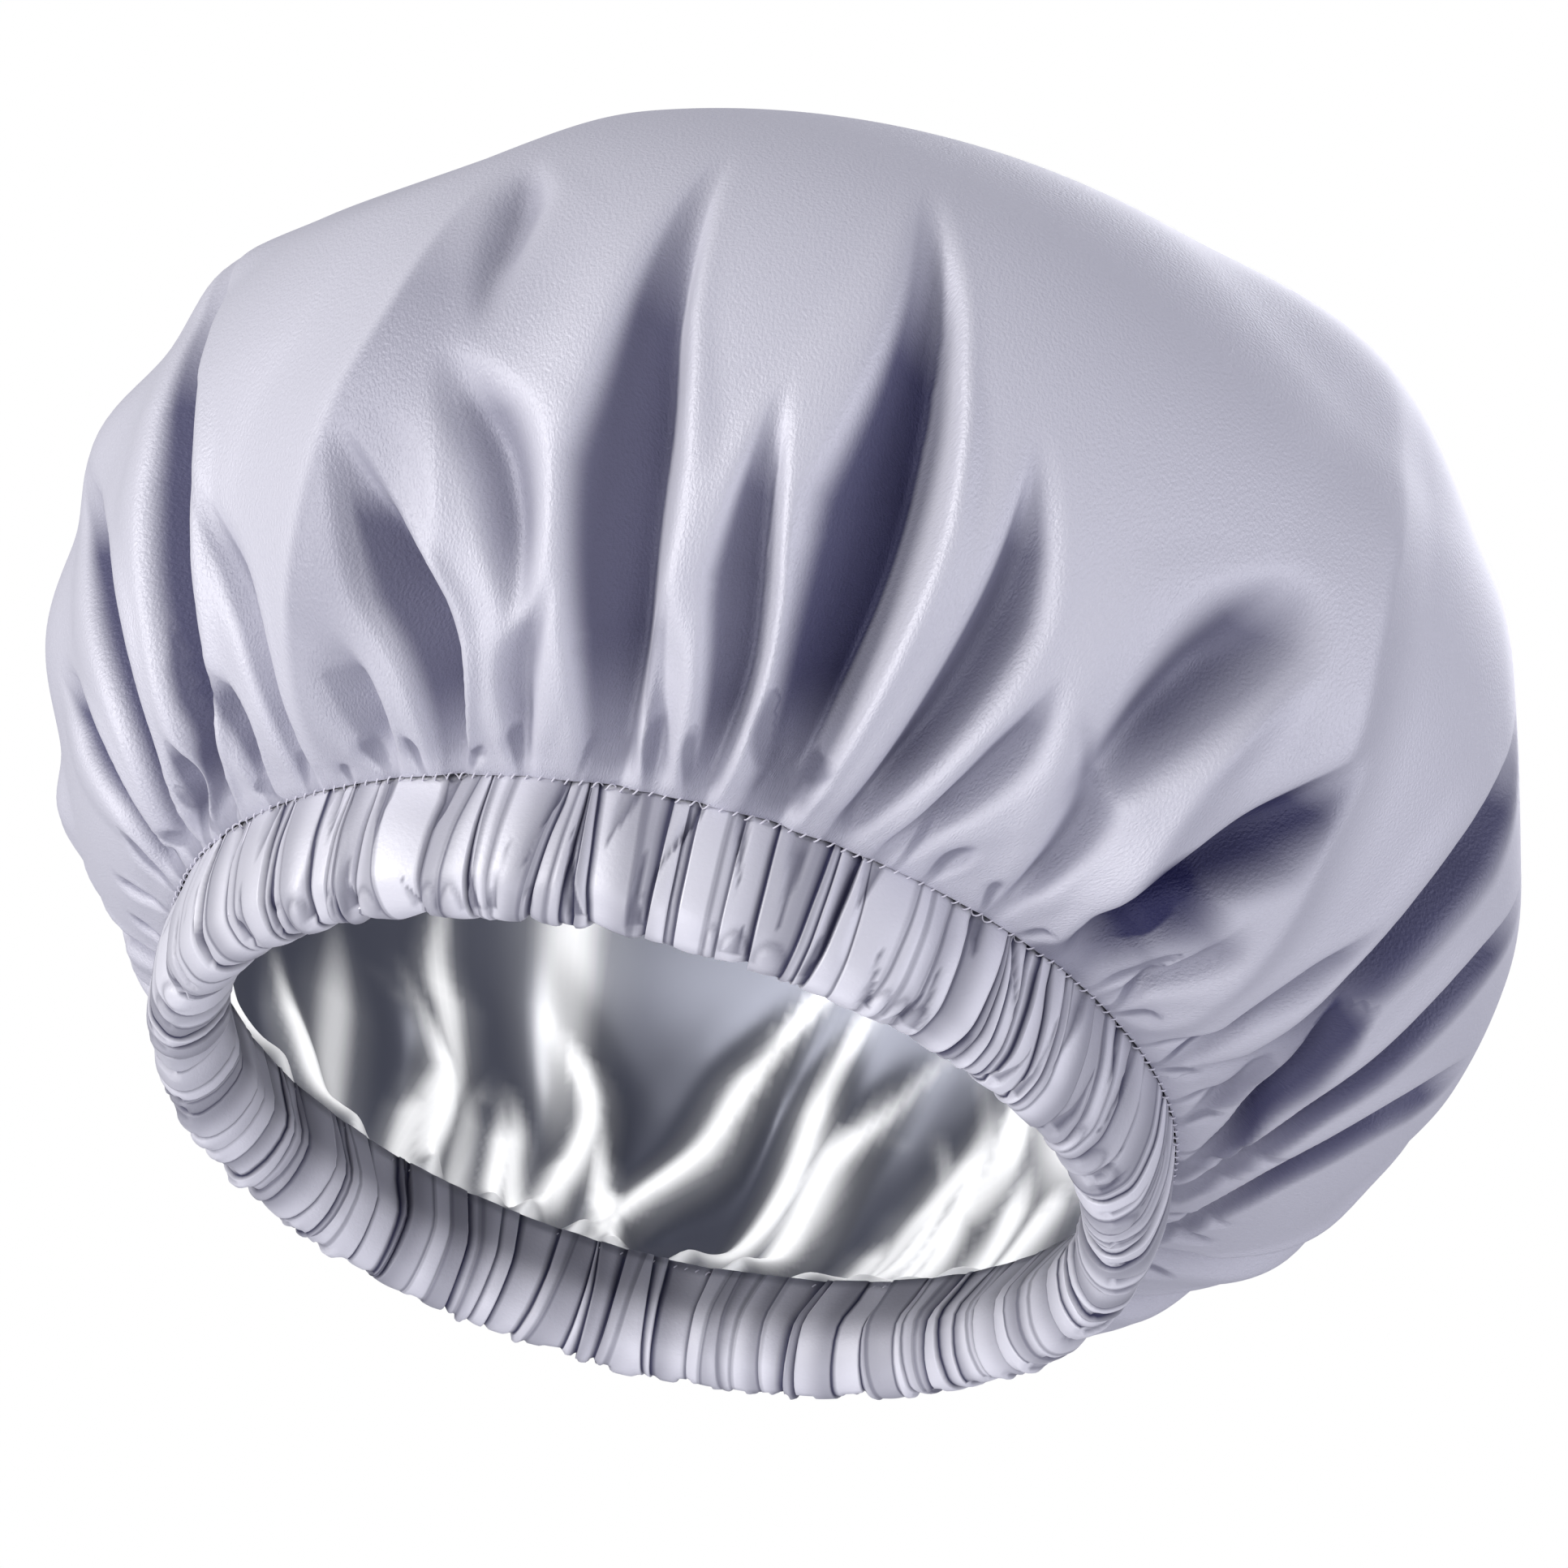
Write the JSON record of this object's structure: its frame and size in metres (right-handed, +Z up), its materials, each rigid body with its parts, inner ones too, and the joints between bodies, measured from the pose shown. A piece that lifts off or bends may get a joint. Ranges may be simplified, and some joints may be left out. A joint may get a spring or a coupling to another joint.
{
  "type": "shower cap",
  "caption": "Bouffant shower cap: gathered satin shell with a waterproof lining, on a ruched satin band that is folded over a ring of flat elastic.",
  "frame": {"origin": "on the plane of the rim's flat lower fold, under the middle of the cap's outline; the mouth's own centre lies 7.9 mm from it towards -X", "axes": "+Z up through the crown, with the mouth down; -Y the side that faces the camera in the picture; +X to that side's right"},
  "size_m": [0.3092, 0.3101, 0.214],
  "materials": {
    "shell_satin": "lavender-grey satin with a fine pebbled weave and a soft sheen",
    "band_satin": "smooth lavender-grey satin, glossier than the shell",
    "silver_lining": "silver-coated waterproof film with soft metallic highlights",
    "elastic": "white knitted flat elastic",
    "thread": "polyester sewing thread, slightly fuzzy"
  },
  "bodies": {
    "root": {"outer_shell": "shell_satin", "inner_lining": "silver_lining", "band_casing": "band_satin", "elastic_band": "elastic", "elastic_lap_stitching": "thread", "casing_join_stitching": "thread", "shell_seam_overlock": "thread", "lining_seam_overlock": "thread"}
  },
  "joints": []
}
